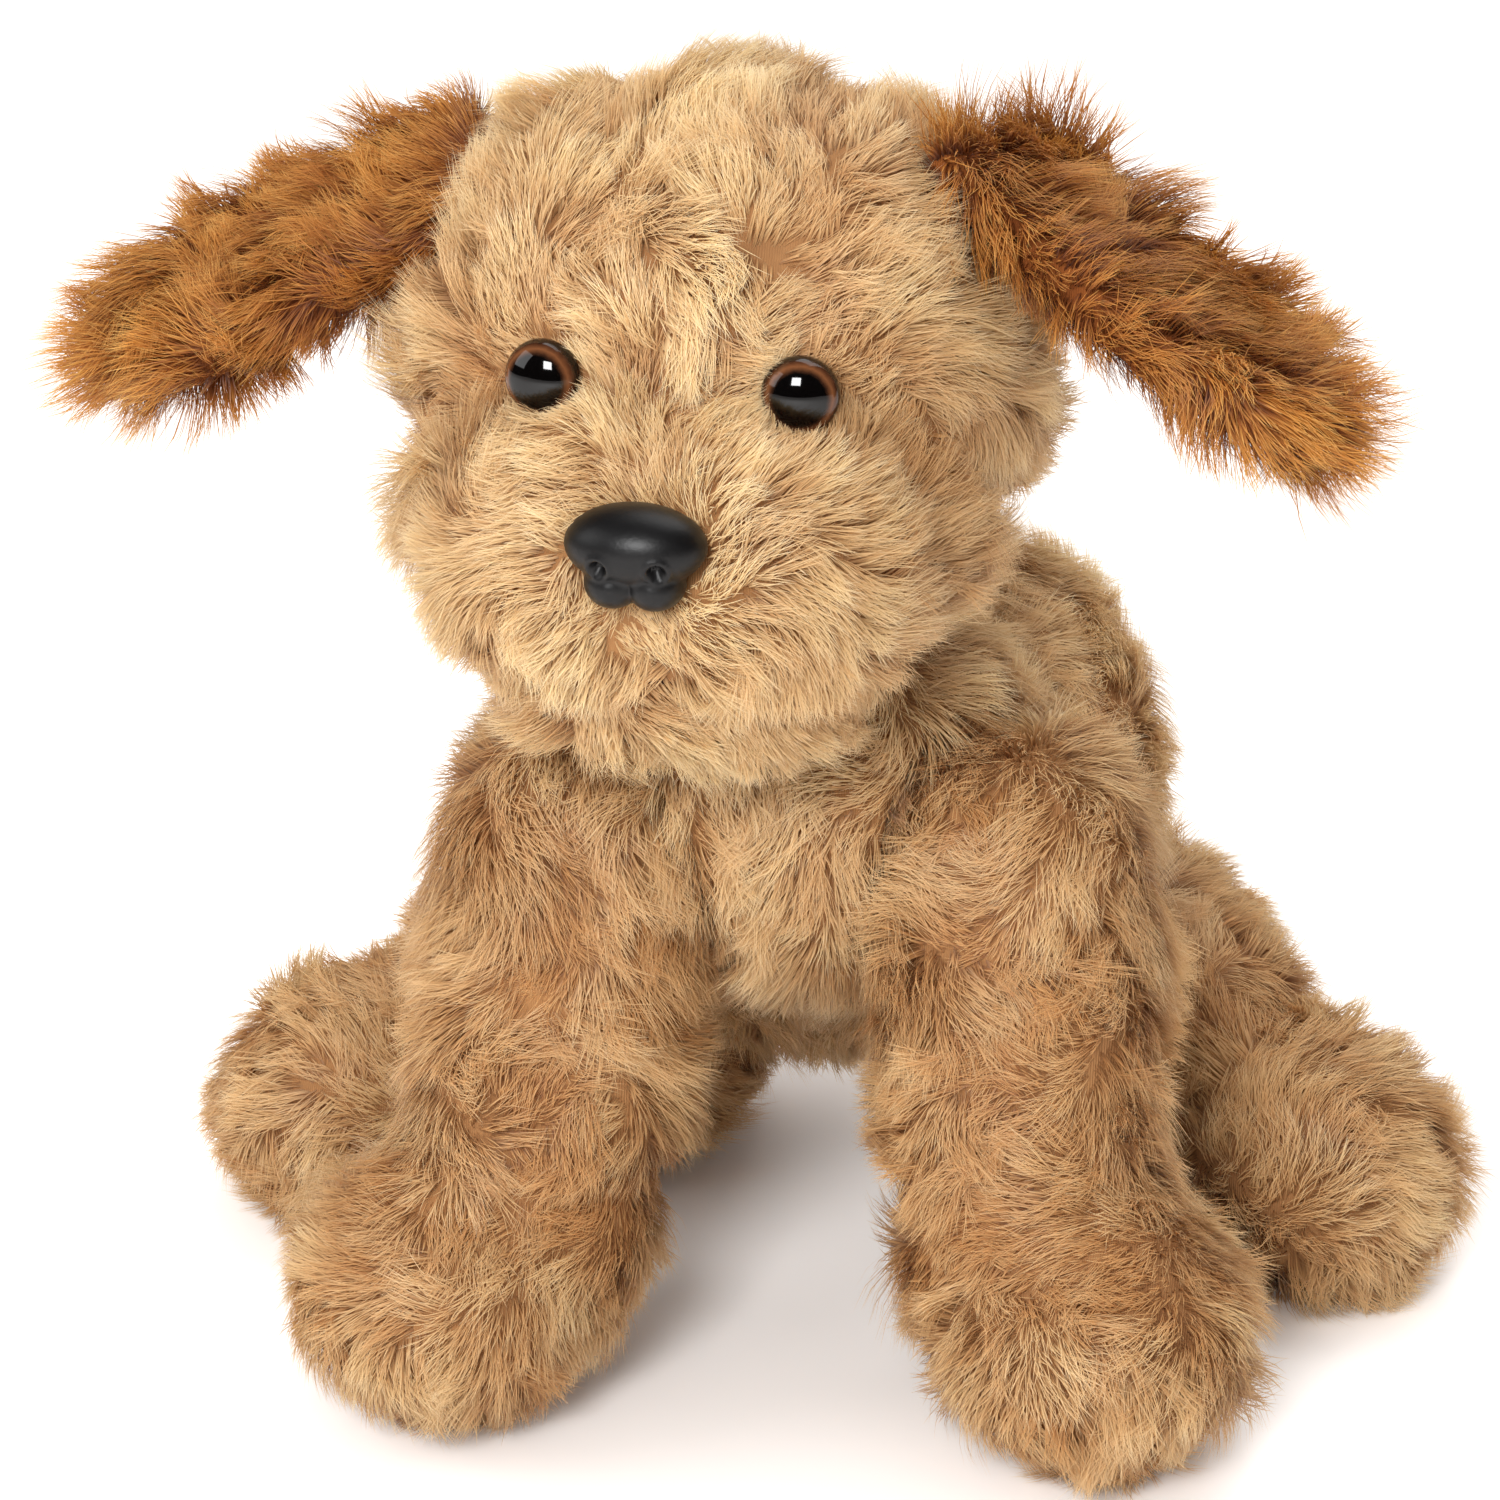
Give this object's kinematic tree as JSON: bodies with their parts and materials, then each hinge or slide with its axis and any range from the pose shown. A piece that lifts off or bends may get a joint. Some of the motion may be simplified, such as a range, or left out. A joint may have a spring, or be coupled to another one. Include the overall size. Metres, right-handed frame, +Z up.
{
  "type": "plush dog",
  "caption": "Seated soft toy dog in long tan pile with rust ears, a turning head, flopping ears, swinging legs and a wagging tail.",
  "frame": {"origin": "on the ground below the middle of the toy's box", "axes": "+Z up, the dog faces -Y, its own left is +X"},
  "size_m": [0.2792, 0.2484, 0.2655],
  "materials": {
    "tan_pile": "matte",
    "rust_pile": "matte",
    "stuffing": "matte",
    "pouch_cloth": "matte",
    "brown_lens": "gloss",
    "black_pupil": "gloss",
    "washer_plastic": "matte",
    "nose_plastic": "satin",
    "black_thread": "matte"
  },
  "bodies": {
    "torso": {"chest_panel": "tan_pile", "belly_panel": "tan_pile", "back_left_panel": "tan_pile", "back_right_panel": "tan_pile", "torso_fill": "stuffing", "pellet_pouch": "pouch_cloth"},
    "neck": {"neck_fill": "stuffing"},
    "head": {"muzzle_left_panel": "tan_pile", "muzzle_right_panel": "tan_pile", "chin_panel": "tan_pile", "head_left_panel": "tan_pile", "head_right_panel": "tan_pile", "head_gusset": "tan_pile", "head_fill": "stuffing", "nose": "nose_plastic", "nose_washer": "washer_plastic", "mouth_thread": "black_thread", "eye_left_lens": "brown_lens", "eye_left_pupil": "black_pupil", "eye_left_washer": "washer_plastic", "eye_right_lens": "brown_lens", "eye_right_pupil": "black_pupil", "eye_right_washer": "washer_plastic"},
    "tail": {"tail_upper_panel": "tan_pile", "tail_lower_panel": "tan_pile", "tail_fill": "stuffing"},
    "ear_left": {"ear_left_upper_panel": "rust_pile", "ear_left_lower_panel": "rust_pile"},
    "front_leg_left": {"front_leg_left_outer_panel": "tan_pile", "front_leg_left_inner_panel": "tan_pile", "front_paw_left_top_panel": "tan_pile", "front_paw_left_sole_panel": "tan_pile", "front_leg_left_fill": "stuffing"},
    "hind_leg_left": {"hind_leg_left_upper_panel": "tan_pile", "hind_leg_left_lower_panel": "tan_pile", "hind_foot_left_panel": "tan_pile", "hind_leg_left_fill": "stuffing"},
    "ear_right": {"ear_right_upper_panel": "rust_pile", "ear_right_lower_panel": "rust_pile"},
    "front_leg_right": {"front_leg_right_outer_panel": "tan_pile", "front_leg_right_inner_panel": "tan_pile", "front_paw_right_top_panel": "tan_pile", "front_paw_right_sole_panel": "tan_pile", "front_leg_right_fill": "stuffing"},
    "hind_leg_right": {"hind_leg_right_upper_panel": "tan_pile", "hind_leg_right_lower_panel": "tan_pile", "hind_foot_right_panel": "tan_pile", "hind_leg_right_fill": "stuffing"}
  },
  "joints": [
    {"name": "head_turn", "type": "hinge", "parent": "torso", "child": "neck", "pos_m": [0.00062, -0.01675, 0.164], "axis": [0, 0, 1], "range_deg": [-20, 20], "stiffness_Nm_per_rad": 1},
    {"name": "head_nod", "type": "hinge", "parent": "neck", "child": "head", "pos_m": [0.00062, -0.01675, 0.164], "axis": [1, 0, 0], "range_deg": [-10, 6], "stiffness_Nm_per_rad": 2.5},
    {"name": "ear_left_flop", "type": "hinge", "parent": "head", "child": "ear_left", "pos_m": [0.0451, -0.03748, 0.25], "axis": [0.5209, 0.8483, -0.0955], "range_deg": [-15, 25], "stiffness_Nm_per_rad": 0.25},
    {"name": "ear_right_flop", "type": "hinge", "parent": "head", "child": "ear_right", "pos_m": [-0.05876, -0.03204, 0.243], "axis": [0.1895, -0.8901, -0.4145], "range_deg": [-15, 25], "stiffness_Nm_per_rad": 0.25},
    {"name": "front_leg_left_swing", "type": "hinge", "parent": "torso", "child": "front_leg_left", "pos_m": [0.04962, -0.04075, 0.112], "axis": [0.9943, 0.036, 0.1008], "range_deg": [-24, 8], "stiffness_Nm_per_rad": 2},
    {"name": "front_leg_right_swing", "type": "hinge", "parent": "torso", "child": "front_leg_right", "pos_m": [-0.03438, -0.04075, 0.112], "axis": [0.9943, -0.036, -0.1008], "range_deg": [-24, 8], "stiffness_Nm_per_rad": 2},
    {"name": "hind_leg_left_swing", "type": "hinge", "parent": "torso", "child": "hind_leg_left", "pos_m": [0.06162, 0.04924, 0.0365], "axis": [0.1431, -0.1118, 0.9834], "range_deg": [-16, 8], "stiffness_Nm_per_rad": 1},
    {"name": "hind_leg_right_swing", "type": "hinge", "parent": "torso", "child": "hind_leg_right", "pos_m": [-0.04638, 0.04924, 0.0365], "axis": [-0.1431, -0.1118, 0.9834], "range_deg": [-8, 16], "stiffness_Nm_per_rad": 1},
    {"name": "tail_wag", "type": "hinge", "parent": "torso", "child": "tail", "pos_m": [0.00762, 0.09324, 0.076], "axis": [0, -0.8192, 0.5735], "range_deg": [-25, 25], "stiffness_Nm_per_rad": 0.2}
  ]
}
